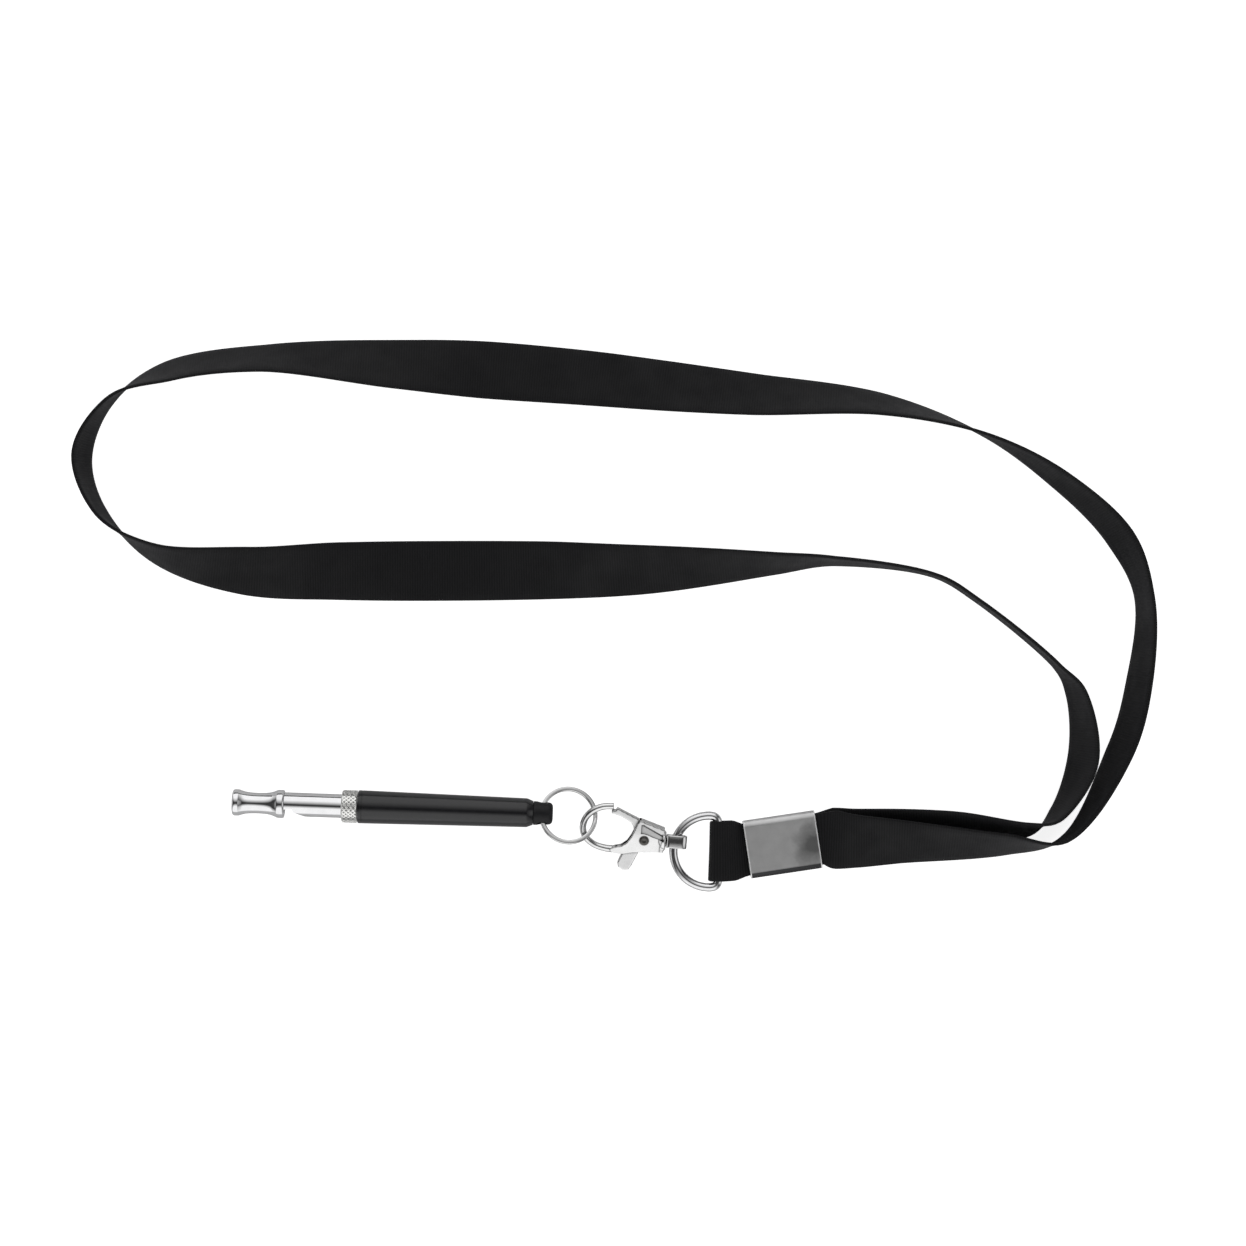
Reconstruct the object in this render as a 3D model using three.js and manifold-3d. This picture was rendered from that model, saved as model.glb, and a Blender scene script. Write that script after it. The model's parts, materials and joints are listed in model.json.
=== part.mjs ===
// Silent dog whistle on a neck lanyard, lying flat on the plane z = 0.
// Chain of parts: whistle, split ring, trigger snap, swivel eye, D-ring, crimped strap loop.
// Units are millimetres, +Z is up, and +X runs from the mouthpiece towards the crimp.
import * as THREE from 'three';
import { mergeVertices } from 'three/addons/utils/BufferGeometryUtils.js';
import Module from 'manifold-3d';

const wasm = await Module();
wasm.setup();

const DEG = Math.PI / 180;

// ---------- driving dimensions ----------

// Whistle: every station is a distance from the mouth end along the whistle's axis.
const WHISTLE = { x: -73.25, y: 9.35, z: 4.2, turn: -2.05 * DEG };
const MOUTHPIECE_END = 12.8;
const WINDOW_START = 13.25;
const WINDOW_END = 18.4;
const STEM = { start: 12.85, end: 46, radius: 2.95, bore: 2.0 };
const NUT = { start: 27.2, end: 31.1, radius: 4.15, bore: 3.02 };
const BARREL = { start: 31.2, end: 74.7, mouthRadius: 4.12, tailRadius: 3.6, thread: 3.02, bore: 2.6 };
const BARREL_STEP = 48;
const TAIL = { start: 66, shoulder: 74.8, end: 79.6, hole: 77.0, holeRadius: 1.45 };
const PLUNGER = { tip: 22, back: 25.8, radius: 1.9, rod: 0.9 };

// Split ring: a flat wire wound twice, its middle and the slopes of the plane it hangs in.
const RING = { x: 10.2, y: 6.0, z: 3.5, radius: 6.75, wide: 1.1, thick: 0.6, pitch: 0.7 };
const RING_SLOPE = { x: -0.15, y: -0.25 };

// Trigger snap: local x runs along its swivel axis, and its origin is the lever's rivet.
const SNAP = { x: 29.0, y: 0.1, z: 2.6, turn: -4.8 * DEG, roll: 10 * DEG };
const CHEEK = 1.8;
const SLOT = 1.1;
const HOOK_BAR = 0.8;
const LEVER_HALF = 0.9;
const RIVET = 0.85;
const COLLAR = { start: 4.4, end: 5.45, radius: 2.5, bore: 0.8 };
const EYE = { start: 5.55, end: 10.7, base: 0.5, wall: 0.75, half: 2.5, width: 3.2 };

// D-ring: a straight bar under the strap's fold and a half-round bow.
const D_RING = { bar: 47.4, bow: 45.25, y: -3.05, z: 2.25, radius: 8.95, wire: 1.05, corner: 1.8 };

// Strap and crimp.
const STRAP = { width: 15, squeezed: 13.1, thick: 0.8 };
const STRAP_STEPS = 3; // steps from each station of the strap's route to the next
const STRAP_STRIPS = 3; // strips across the strap, which keep its twisted faces apart
const CRIMP = { x: 63.5, y: -1.3, turn: 8.5 * DEG, length: 18, width: 14.4, height: 4.1, wall: 0.4 };

// ---------- materials ----------

const chrome = new THREE.MeshStandardMaterial({ color: 0xd9dadb, roughness: 0.12, metalness: 1 });
const nickel = new THREE.MeshStandardMaterial({ color: 0x9a9a9a, roughness: 0.32, metalness: 1 });
const brass = new THREE.MeshStandardMaterial({ color: 0xb59a5b, roughness: 0.3, metalness: 1 });
const steel = new THREE.MeshStandardMaterial({ color: 0xa8abad, roughness: 0.28, metalness: 1 });
const anodised = new THREE.MeshStandardMaterial({ color: 0x1d1d20, roughness: 0.38, metalness: 0.6 });
const plastic = new THREE.MeshStandardMaterial({ color: 0xe4e4df, roughness: 0.5, metalness: 0 });
const rubber = new THREE.MeshStandardMaterial({ color: 0x161616, roughness: 0.8, metalness: 0 });
const polyester = new THREE.MeshStandardMaterial({ color: 0x131315, roughness: 0.75, metalness: 0 });

// ---------- helpers ----------

function indexed(geometry) {
  const bare = geometry.clone();
  bare.deleteAttribute('normal');
  bare.deleteAttribute('uv');
  return mergeVertices(bare, 1e-4);
}

function toSolid(geometry) {
  const merged = indexed(geometry);
  return new wasm.Manifold(new wasm.Mesh({
    numProp: 3,
    vertProperties: new Float32Array(merged.attributes.position.array),
    triVerts: new Uint32Array(merged.index.array),
  }));
}

function toGeometry(solid) {
  const mesh = solid.getMesh();
  const geometry = new THREE.BufferGeometry();
  geometry.setAttribute('position', new THREE.BufferAttribute(mesh.vertProperties, 3));
  geometry.setIndex(new THREE.BufferAttribute(mesh.triVerts, 1));
  return geometry;
}

function cut(body, ...tools) {
  return toGeometry(tools.reduce((solid, tool) => solid.subtract(toSolid(tool)), toSolid(body)));
}

function join(first, ...others) {
  return toGeometry(others.reduce((solid, other) => solid.add(toSolid(other)), toSolid(first)));
}

// Turns a geometry's faces over when they point inwards.
function facingOut(geometry) {
  const position = geometry.attributes.position;
  const index = geometry.index.array;
  const a = new THREE.Vector3();
  const b = new THREE.Vector3();
  const c = new THREE.Vector3();
  let volume = 0;
  for (let i = 0; i < index.length; i += 3) {
    a.fromBufferAttribute(position, index[i]);
    b.fromBufferAttribute(position, index[i + 1]);
    c.fromBufferAttribute(position, index[i + 2]);
    volume += a.dot(b.cross(c));
  }
  if (volume < 0) {
    for (let i = 0; i < index.length; i += 3) {
      const swap = index[i];
      index[i] = index[i + 1];
      index[i + 1] = swap;
    }
  }
  return geometry;
}

// Moves every vertex of a straight geometry to where place(x, y, z) puts it.
function bend(geometry, place) {
  const bent = indexed(geometry);
  const position = bent.attributes.position;
  for (let i = 0; i < position.count; i += 1) {
    const point = place(position.getX(i), position.getY(i), position.getZ(i));
    position.setXYZ(i, point.x, point.y, point.z);
  }
  return facingOut(bent);
}

// A round bar along a curve that lies flat in its own xy plane.
function flatBar(curve, radius, sides, steps) {
  const up = new THREE.Vector3(0, 0, 1);
  return bend(new THREE.CylinderGeometry(1, 1, 1, sides, steps), (x, y, z) => {
    const t = Math.min(Math.max(y + 0.5, 0), 1);
    const side = new THREE.Vector3().crossVectors(up, curve.getTangentAt(t)).normalize();
    return curve.getPointAt(t).addScaledVector(side, x * radius).addScaledVector(up, z * radius);
  });
}

// A turned part: pairs of (distance along the axis, radius), revolved about Y.
function turned(profile, sides) {
  return new THREE.LatheGeometry(profile.map(([along, radius]) => new THREE.Vector2(radius, along)), sides);
}

// A flat plate from an outline, centred on z = 0.
function plate(points, half, bevel = 0) {
  const shape = new THREE.Shape(points.map(([x, y]) => new THREE.Vector2(x, y)));
  const geometry = new THREE.ExtrudeGeometry(shape, {
    depth: 2 * (half - bevel),
    bevelEnabled: bevel > 0,
    bevelThickness: bevel,
    bevelSize: bevel,
    bevelOffset: -bevel,
    bevelSegments: 1,
  });
  geometry.translate(0, 0, -(half - bevel));
  return geometry;
}

function roundRod(radius, length, sides, axis) {
  const geometry = new THREE.CylinderGeometry(radius, radius, length, sides);
  if (axis === 'x') geometry.rotateZ(Math.PI / 2);
  if (axis === 'z') geometry.rotateX(Math.PI / 2);
  return geometry;
}

function piece(name, geometry, material) {
  const mesh = new THREE.Mesh(geometry, material);
  mesh.name = name;
  return mesh;
}

// ---------- whistle, modelled along Y and then laid along X ----------

function mouthpiece() {
  const bore = STEM.bore;
  return turned([
    [0.0, bore + 0.35], [0.0, 2.9], [0.35, 3.25], [1.7, 3.3], [2.0, 3.15], [3.4, 2.85], [5.0, 2.65],
    [6.6, 2.6], [8.4, 2.65], [9.8, 2.9], [10.7, 3.3], [11.0, 3.45], [12.5, 3.5],
    [MOUTHPIECE_END, 3.35], [MOUTHPIECE_END, bore], [0.5, bore], [0.0, bore + 0.35],
  ], 32);
}

function windwayPlug() {
  const body = turned([[2.6, 0], [2.6, 1.95], [13.2, 1.95], [13.2, 0]], 24);
  const slit = new THREE.BoxGeometry(2, 12, 5);
  slit.translate(2.4, 7.9, 0);
  return cut(body, slit);
}

function stemTube() {
  const { start, end, radius, bore } = STEM;
  const tube = turned([
    [start, bore], [start, radius - 0.1], [start + 0.15, radius], [end - 0.4, radius],
    [end, radius - 0.4], [end, bore], [start, bore],
  ], 32);
  const notch = plate([
    [3.4, WINDOW_START], [1.2, WINDOW_START], [1.2, 15.0], [1.9, 15.2], [2.98, WINDOW_END],
    [3.4, WINDOW_END],
  ], 3.4);
  return cut(tube, notch);
}

function lockNut() {
  const { start, end, radius, bore } = NUT;
  return turned([
    [start, bore], [start, radius - 0.4], [start + 0.35, radius], [end - 0.35, radius],
    [end, radius - 0.4], [end, bore], [start, bore],
  ], 32);
}

function barrel() {
  const { start, end, mouthRadius, tailRadius, thread, bore } = BARREL;
  return turned([
    [start, thread], [start, mouthRadius - 0.15], [start + 0.2, mouthRadius], [end - 1.0, tailRadius],
    [end, tailRadius - 0.5], [end, bore], [BARREL_STEP, bore], [BARREL_STEP, thread], [start, thread],
  ], 32);
}

function tailPlug() {
  const { start, shoulder, end, hole, holeRadius } = TAIL;
  const body = turned([
    [start, 0], [start, 2.55], [shoulder, 2.55], [shoulder, 2.98], [end - 0.9, 2.65],
    [end - 0.3, 2.45], [end, 1.9], [end, 0],
  ], 28);
  const crossHole = roundRod(holeRadius, 9, 20, 'x');
  crossHole.translate(0, hole, 0);
  crossHole.rotateY(Math.atan(RING_SLOPE.y));
  const rodHole = roundRod(PLUNGER.rod + 0.05, 6, 16, 'y');
  rodHole.translate(0, start + 2, 0);
  return cut(body, crossHole, rodHole);
}

function plungerRod() {
  const front = PLUNGER.back - 1.9;
  const back = TAIL.start + 4.9;
  const rod = roundRod(PLUNGER.rod, back - front, 14, 'y');
  rod.translate(0, (front + back) / 2, 0);
  return rod;
}

function plungerHead() {
  const { tip, back, radius, rod } = PLUNGER;
  const groove = 1.25;
  const bore = rod + 0.05;
  return turned([
    [tip, 0], [tip, radius - 0.2], [tip + 0.2, radius], [tip + 1.1, radius], [tip + 1.1, groove],
    [tip + 2.1, groove], [tip + 2.1, radius], [back, radius], [back, bore], [back - 2.0, bore],
    [back - 2.0, 0],
  ], 24);
}

function plungerSeal() {
  const ring = new THREE.TorusGeometry(1.62, 0.33, 10, 24);
  ring.rotateX(Math.PI / 2);
  ring.translate(0, PLUNGER.tip + 1.6, 0);
  return ring;
}

function whistle() {
  const group = new THREE.Group();
  group.position.set(WHISTLE.x, WHISTLE.y, WHISTLE.z);
  group.rotation.z = WHISTLE.turn - Math.PI / 2;
  group.add(piece('mouthpiece', mouthpiece(), chrome));
  group.add(piece('windway_plug', windwayPlug(), plastic));
  group.add(piece('stem_tube', stemTube(), chrome));
  group.add(piece('lock_nut', lockNut(), nickel));
  group.add(piece('barrel', barrel(), anodised));
  group.add(piece('tail_plug', tailPlug(), anodised));
  group.add(piece('plunger_rod', plungerRod(), brass));
  group.add(piece('plunger_head', plungerHead(), brass));
  group.add(piece('plunger_seal', plungerSeal(), rubber));
  return group;
}

// ---------- split ring ----------

// Two full turns of flat wire, closed up on each other, about the ring's own z axis.
function splitRing() {
  const { radius, wide, thick, pitch } = RING;
  const turns = 1.97;
  return bend(new THREE.BoxGeometry(wide, thick, 1, 1, 1, 72), (x, y, z) => {
    const angle = 2 * Math.PI * turns * z;
    const lift = y + pitch * turns * z;
    return new THREE.Vector3((radius + x) * Math.cos(angle), (radius + x) * Math.sin(angle), lift);
  });
}

function placedRing() {
  const mesh = piece('split_ring', splitRing(), steel);
  const normal = new THREE.Vector3(-RING_SLOPE.x, -RING_SLOPE.y, 1).normalize();
  mesh.position.set(RING.x, RING.y, RING.z);
  mesh.quaternion.setFromUnitVectors(new THREE.Vector3(0, 0, 1), normal);
  return mesh;
}

// ---------- trigger snap ----------

function hookBar() {
  const line = new THREE.CatmullRomCurve3([
    [-7.2, -3.15], [-9.6, -3.1], [-12.4, -2.35], [-14.7, -0.5], [-15.45, 1.8], [-14.9, 4.2],
    [-13.2, 6.2], [-10.8, 7.4], [-8.1, 7.75],
  ].map(([x, y]) => new THREE.Vector3(x, y, 0)));
  return flatBar(line, HOOK_BAR, 12, 30);
}

const CHEEK_OUTLINE = [
  [-7.6, -2.35], [-5.6, -2.0], [-4.2, -0.9], [-3.2, 0.8], [-2.5, 2.6], [-1.9, 4.3], [-1.3, 5.0],
  [5.0, 3.05], [5.0, -2.75], [-2.6, -3.35], [-5.2, -4.0], [-7.6, -4.0],
];

const SLOT_OUTLINE = [
  [-7.0, -5.0], [-7.0, 3.0], [-4.0, 6.5], [-1.1, 6.5], [-1.0, 4.0], [4.2, 2.35], [4.2, -1.9],
  [1.6, -2.2], [1.6, -5.0],
];

function claspBody() {
  const housing = cut(
    join(plate(CHEEK_OUTLINE, CHEEK, 0.2), collar()),
    plate(SLOT_OUTLINE, SLOT),
    roundRod(RIVET + 0.05, 6, 20, 'z'),
    swivelBore(),
  );
  return join(housing, hookBar());
}

function collar() {
  const { start, end, radius } = COLLAR;
  const geometry = turned([
    [start - 0.8, 0], [start - 0.8, radius - 0.7], [start, radius], [end - 0.3, radius],
    [end, radius - 0.3], [end, 0],
  ], 24);
  geometry.rotateZ(-Math.PI / 2);
  return geometry;
}

function swivelBore() {
  const bore = roundRod(COLLAR.bore, 4, 20, 'x');
  bore.translate(COLLAR.end - 1, 0, 0);
  return bore;
}

const LEVER_OUTLINE = [
  [-7.3, 7.55], [-7.55, 6.95], [-8.7, 6.6], [-8.6, 5.95], [-6.4, 5.45], [-3.6, 4.1], [-2.9, 3.1],
  [-2.6, 1.2], [-2.7, -0.6], [-4.2, -2.4], [-5.2, -3.9], [-6.2, -6.4], [-5.9, -7.6], [-4.6, -8.2],
  [-3.3, -8.1], [-2.6, -6.9], [-1.1, -3.3], [0.6, -1.6], [2.0, -1.2], [3.2, -0.6], [3.3, 0.4],
  [1.7, 0.9], [0.4, 1.6], [-0.9, 3.2], [-1.4, 5.0],
];

function gateLever() {
  return cut(plate(LEVER_OUTLINE, LEVER_HALF, 0.15), roundRod(RIVET + 0.1, 4, 20, 'z'));
}

function leverRivet() {
  const head = CHEEK + 0.05;
  const geometry = turned([
    [-head - 0.3, 0], [-head - 0.3, 0.8], [-head - 0.12, 1.2], [-head, 1.25], [-head, RIVET],
    [head, RIVET], [head, 1.25], [head + 0.12, 1.2], [head + 0.3, 0.8], [head + 0.3, 0],
  ], 20);
  geometry.rotateX(Math.PI / 2);
  return geometry;
}

// Compression spring between the lever's heel and the housing's top wall, along local y.
const SPRING = { x: 2.4, low: 1.0, high: 2.55, radius: 0.55, wire: 0.13, turns: 3 };

class Coil extends THREE.Curve {
  getPoint(t, target = new THREE.Vector3()) {
    const angle = 2 * Math.PI * SPRING.turns * t;
    const along = SPRING.low + (SPRING.high - SPRING.low) * t;
    return target.set(
      SPRING.x + SPRING.radius * Math.cos(angle), along, SPRING.radius * Math.sin(angle));
  }
}

function leverSpring() {
  const section = new THREE.Shape();
  section.absarc(0, 0, SPRING.wire, 0, 2 * Math.PI, false);
  return new THREE.ExtrudeGeometry(section, { extrudePath: new Coil(), steps: 36, curveSegments: 3 });
}

// A closed loop of flat strip around the D-ring, its base plate held by the swivel rivet.
function swivelEye() {
  const { start, end, base, wall, half, width } = EYE;
  const outer = roundedBox(start, end, -half, half, [0.3, 1.5, 1.5, 0.3]);
  const inner = roundedBox(start + base, end - wall, wall - half, half - wall, [0.2, 0.9, 0.9, 0.2]);
  outer.holes.push(inner);
  const bevel = 0.2;
  const loop = new THREE.ExtrudeGeometry(outer, {
    depth: width - 2 * bevel,
    curveSegments: 5,
    bevelThickness: bevel,
    bevelSize: bevel,
    bevelOffset: -bevel,
    bevelSegments: 1,
  });
  loop.translate(0, 0, bevel - width / 2);
  loop.rotateX(Math.PI / 2);
  const hole = roundRod(COLLAR.bore, 2, 20, 'x');
  hole.translate(start, 0, 0);
  return cut(loop, hole);
}

// A rectangle with its own radius at each corner: low left, low right, high right, high left.
function roundedBox(x0, x1, y0, y1, radii) {
  const [a, b, c, d] = radii;
  const shape = new THREE.Shape();
  shape.moveTo(x0 + a, y0);
  shape.lineTo(x1 - b, y0);
  shape.quadraticCurveTo(x1, y0, x1, y0 + b);
  shape.lineTo(x1, y1 - c);
  shape.quadraticCurveTo(x1, y1, x1 - c, y1);
  shape.lineTo(x0 + d, y1);
  shape.quadraticCurveTo(x0, y1, x0, y1 - d);
  shape.lineTo(x0, y0 + a);
  shape.quadraticCurveTo(x0, y0, x0 + a, y0);
  return shape;
}

function swivelRivet() {
  const { end, bore } = COLLAR;
  const shank = bore - 0.06;
  const inside = EYE.start + EYE.base + 0.03;
  const geometry = turned([
    [3.5, 0], [3.5, 0.6], [3.7, 0.95], [4.15, 0.95], [4.15, shank], [end, shank], [inside, shank],
    [inside, 0.98], [inside + 0.15, 0.95], [inside + 0.34, 0.6], [inside + 0.34, 0],
  ], 20);
  geometry.rotateZ(-Math.PI / 2);
  return geometry;
}

function triggerSnap() {
  const axis = new THREE.Group();
  axis.position.set(SNAP.x, SNAP.y, SNAP.z);
  axis.rotation.z = SNAP.turn;
  axis.add(piece('swivel_eye', swivelEye(), chrome));
  axis.add(piece('swivel_rivet', swivelRivet(), steel));
  const rolled = new THREE.Group();
  rolled.rotation.x = SNAP.roll;
  rolled.add(piece('clasp_body', claspBody(), chrome));
  rolled.add(piece('gate_lever', gateLever(), chrome));
  rolled.add(piece('lever_rivet', leverRivet(), steel));
  rolled.add(piece('lever_spring', leverSpring(), steel));
  axis.add(rolled);
  return axis;
}

// ---------- D-ring ----------

function dRingLine() {
  const { bar, bow, radius, corner } = D_RING;
  const line = new THREE.CurvePath();
  const arc = new THREE.ArcCurve(bow, 0, radius, Math.PI / 2, 1.5 * Math.PI, false);
  const flat = (x, y) => new THREE.Vector2(x, y);
  line.add(arc);
  line.add(new THREE.QuadraticBezierCurve(flat(bow, -radius), flat(bar, -radius),
    flat(bar, -radius + corner)));
  line.add(new THREE.LineCurve(flat(bar, -radius + corner), flat(bar, radius - corner)));
  line.add(new THREE.QuadraticBezierCurve(flat(bar, radius - corner), flat(bar, radius),
    flat(bow, radius)));
  return line;
}

function dRing() {
  const line = dRingLine();
  const { wire, y, z } = D_RING;
  const straight = new THREE.TorusGeometry(10, 1, 12, 56);
  return bend(straight, (px, py, pz) => {
    const around = (Math.atan2(py, px) / (2 * Math.PI) + 1) % 1;
    const outward = Math.hypot(px, py) - 10;
    const point = line.getPointAt(around);
    const tangent = line.getTangentAt(around);
    return new THREE.Vector3(
      point.x + tangent.y * outward * wire, y + point.y - tangent.x * outward * wire, z + pz * wire);
  });
}

// ---------- strap and crimp ----------

// The strap's route: x, y, height of its centreline, and roll in degrees. Roll 0 is flat, and 90
// stands it on edge with the edge on the left of the way it runs held up.
const LOOP = [
  [76.5, 0.0, 3.9, 10], [81.0, -0.3, 4.9, 24], [93.0, -0.4, 6.0, 42], [118.1, -1.0, 7.3, 66],
  [132.8, 0.2, 7.9, 88], [146.7, 22.0, 7.7, 106], [151.3, 38.0, 7.7, 105], [152.8, 60.0, 7.9, 98],
  [146.8, 75.0, 7.6, 108], [131.8, 89.4, 7.8, 102], [113.6, 100.4, 7.9, 87], [88.6, 108.0, 7.3, 66],
  [56.0, 110.7, 5.6, 43], [36.0, 112.7, 4.3, 31], [15.0, 114.9, 3.0, 20], [-8.0, 116.8, 2.2, 13],
  [-32.2, 118.2, 4.4, 32], [-65.4, 119.5, 7.0, 60], [-88.5, 116.4, 7.3, 65], [-102.8, 109.4, 7.9, 87],
  [-110.1, 95.6, 7.9, 98], [-105.4, 81.2, 7.9, 93], [-92.6, 71.3, 7.5, 72], [-70.0, 66.8, 5.1, 38],
  [-47.0, 66.8, 2.7, 17], [-22.0, 66.9, 1.0, 4], [3.0, 67.0, 2.4, 15], [27.9, 67.1, 4.9, 36],
  [61.0, 68.6, 7.5, 70], [76.0, 69.2, 7.9, 84], [101.0, 65.6, 8.0, 90], [111.0, 59.8, 8.0, 91],
  [131.0, 43.4, 8.0, 90], [135.8, 36.8, 7.9, 79], [137.6, 20.0, 7.5, 69], [131.0, 6.4, 7.9, 84],
  [125.4, 3.0, 7.7, 104], [105.5, 2.6, 6.1, 131], [81.5, 0.6, 2.9, 165], [76.5, 0.4, 1.8, 177],
];

// Stations inside the crimp, as distance along it and height, and round the D-ring's bar, as x, y and
// height.
const START_IN_CRIMP = [[-8.0, 3.0], [-2.5, 3.0], [3.0, 3.0], [7.0, 3.0], [10.2, 3.06]];
const END_IN_CRIMP = [[9.6, 1.08], [8.0, 1.01], [4.0, 1.0], [-2.0, 1.0], [-9.2, 1.0]];
const FOLD = [
  [51.6, -2.85, 0.72], [49.2, -2.95, 0.5], [47.4, -2.95, 0.5], [46.1, -2.95, 1.0], [45.55, -2.95, 2.1],
  [45.85, -2.95, 3.2], [47.0, -2.95, 3.95], [48.6, -2.95, 3.9], [51.6, -2.85, 2.8],
];
const TAIL_IN_CRIMP = [[-9.2, 2.0], [-3.0, 2.0], [2.0, 2.0], [7.0, 2.0]];

function inCrimp(rows) {
  const along = new THREE.Vector3(Math.cos(CRIMP.turn), Math.sin(CRIMP.turn), 0);
  const across = new THREE.Vector3(-along.y, along.x, 0);
  return rows.map(([distance, height]) => ({
    point: new THREE.Vector3(CRIMP.x, CRIMP.y, height).addScaledVector(along, distance),
    across,
    width: STRAP.squeezed,
  }));
}

function onLoop() {
  return LOOP.map(([x, y, z, roll], i) => {
    const before = LOOP[Math.max(i - 1, 0)];
    const after = LOOP[Math.min(i + 1, LOOP.length - 1)];
    const heading = Math.atan2(after[1] - before[1], after[0] - before[0]);
    const level = Math.cos(roll * DEG);
    return {
      point: new THREE.Vector3(x, y, z),
      across: new THREE.Vector3(
        -Math.sin(heading) * level, Math.cos(heading) * level, Math.sin(roll * DEG)),
      width: STRAP.width,
    };
  });
}

function roundBar() {
  const across = new THREE.Vector3(0.03, 1, 0).normalize();
  return FOLD.map(([x, y, z]) => ({ point: new THREE.Vector3(x, y, z), across, width: STRAP.width }));
}

function strap() {
  const stations = [
    ...inCrimp(START_IN_CRIMP), ...onLoop(), ...inCrimp(END_IN_CRIMP), ...roundBar(),
    ...inCrimp(TAIL_IN_CRIMP),
  ];
  const line = new THREE.CatmullRomCurve3(stations.map((station) => station.point));
  const across = new THREE.CatmullRomCurve3(stations.map((station) => station.across));
  const steps = (stations.length - 1) * STRAP_STEPS;
  return bend(new THREE.BoxGeometry(1, 1, 1, STRAP_STRIPS, 1, steps), (x, y, z) => {
    const t = Math.min(Math.max(z + 0.5, 0), 1);
    const along = line.getTangent(t);
    const wide = across.getPoint(t);
    wide.addScaledVector(along, -wide.dot(along)).normalize();
    const thick = new THREE.Vector3().crossVectors(along, wide);
    const at = t * (stations.length - 1);
    const low = Math.min(Math.floor(at), stations.length - 2);
    const width = THREE.MathUtils.lerp(stations[low].width, stations[low + 1].width, at - low);
    return line.getPoint(t).addScaledVector(wide, x * width).addScaledVector(thick, y * STRAP.thick);
  });
}

// A sheet-metal band folded round the layers of strap, open at both ends.
function crimp() {
  const { length, width, height, wall } = CRIMP;
  const outer = roundedBox(-width / 2, width / 2, 0, height, [0.7, 0.7, 0.9, 0.9]);
  const inner = roundedBox(
    wall - width / 2, width / 2 - wall, wall, height - wall, [0.3, 0.3, 0.5, 0.5]);
  outer.holes.push(inner);
  const geometry = new THREE.ExtrudeGeometry(outer, {
    depth: length, bevelEnabled: false, curveSegments: 4,
  });
  geometry.translate(0, 0, -length / 2);
  geometry.rotateX(Math.PI / 2);
  geometry.rotateZ(Math.PI / 2);
  const mesh = piece('crimp', geometry, nickel);
  mesh.position.set(CRIMP.x, CRIMP.y, 0);
  mesh.rotation.z = CRIMP.turn;
  return mesh;
}

// ---------- the whole object ----------

const group = new THREE.Group();
group.add(whistle());
group.add(placedRing());
group.add(triggerSnap());
group.add(piece('d_ring', dRing(), chrome));
group.add(crimp());
group.add(piece('strap', strap(), polyester));

export default group;
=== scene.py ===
"""Dog training whistle on its lanyard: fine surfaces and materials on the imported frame.

Blender 4.5. Lengths are in metres; a name or table that says mm is in millimetres.
"""

import json
import math

import bmesh
import bpy
from mathutils import Matrix, Vector


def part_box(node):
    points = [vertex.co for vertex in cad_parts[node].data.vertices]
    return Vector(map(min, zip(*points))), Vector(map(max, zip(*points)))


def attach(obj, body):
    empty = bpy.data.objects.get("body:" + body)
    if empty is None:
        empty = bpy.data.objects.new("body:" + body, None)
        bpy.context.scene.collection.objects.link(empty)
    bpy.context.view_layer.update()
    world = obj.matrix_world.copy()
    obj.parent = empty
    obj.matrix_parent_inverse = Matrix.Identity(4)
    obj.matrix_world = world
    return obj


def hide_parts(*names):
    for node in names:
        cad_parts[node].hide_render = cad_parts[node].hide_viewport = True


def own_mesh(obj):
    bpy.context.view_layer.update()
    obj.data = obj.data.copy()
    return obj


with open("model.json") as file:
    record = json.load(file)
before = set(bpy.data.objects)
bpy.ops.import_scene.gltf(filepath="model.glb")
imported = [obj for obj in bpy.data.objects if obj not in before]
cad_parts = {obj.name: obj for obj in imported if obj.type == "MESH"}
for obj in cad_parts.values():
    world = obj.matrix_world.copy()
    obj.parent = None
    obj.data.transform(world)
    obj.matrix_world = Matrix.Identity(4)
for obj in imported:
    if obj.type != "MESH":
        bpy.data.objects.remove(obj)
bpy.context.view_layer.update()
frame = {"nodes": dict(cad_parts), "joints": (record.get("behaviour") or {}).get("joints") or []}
JOINTS = {joint["name"]: joint for joint in frame["joints"]}
MM = 0.001
TURN = 2 * math.pi

# ---------- where things are, from the frame ----------


def joint_point(name):
    return Vector(JOINTS[name]["pos_m"])


def joint_axis(name):
    return Vector(JOINTS[name]["axis"]).normalized()


def axes_at(origin, along, up):
    """A frame with local x along one direction and local z as near to another as it can be."""
    x = along.normalized()
    y = up.cross(x).normalized()
    z = x.cross(y)
    matrix = Matrix((x, y, z)).transposed().to_4x4()
    matrix.translation = origin
    return matrix @ Matrix.Scale(MM, 4)


def whistle_axes():
    """Local x runs along the whistle from its mouth end, in millimetres."""
    along = -joint_axis("stem_screw")
    low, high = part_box("lock_nut")
    from_mouth = (NUT["start"] + NUT["end"]) / 2 * MM
    return axes_at((low + high) / 2 - along * from_mouth, along, Vector((0, 0, 1)))


def snap_axes():
    """Local x runs along the swivel, and local z along the lever's rivet."""
    return axes_at(joint_point("gate_pivot"), joint_axis("snap_swivel"), joint_axis("gate_pivot"))


def swivel_axes():
    """Local x runs along the swivel, and local z is up."""
    return axes_at(joint_point("snap_swivel"), joint_axis("snap_swivel"), Vector((0, 0, 1)))


def at_mm(x, y, z):
    return Matrix.Translation(Vector((x, y, z)) * MM) @ Matrix.Scale(MM, 4)


# ---------- sizes in mm ----------

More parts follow.
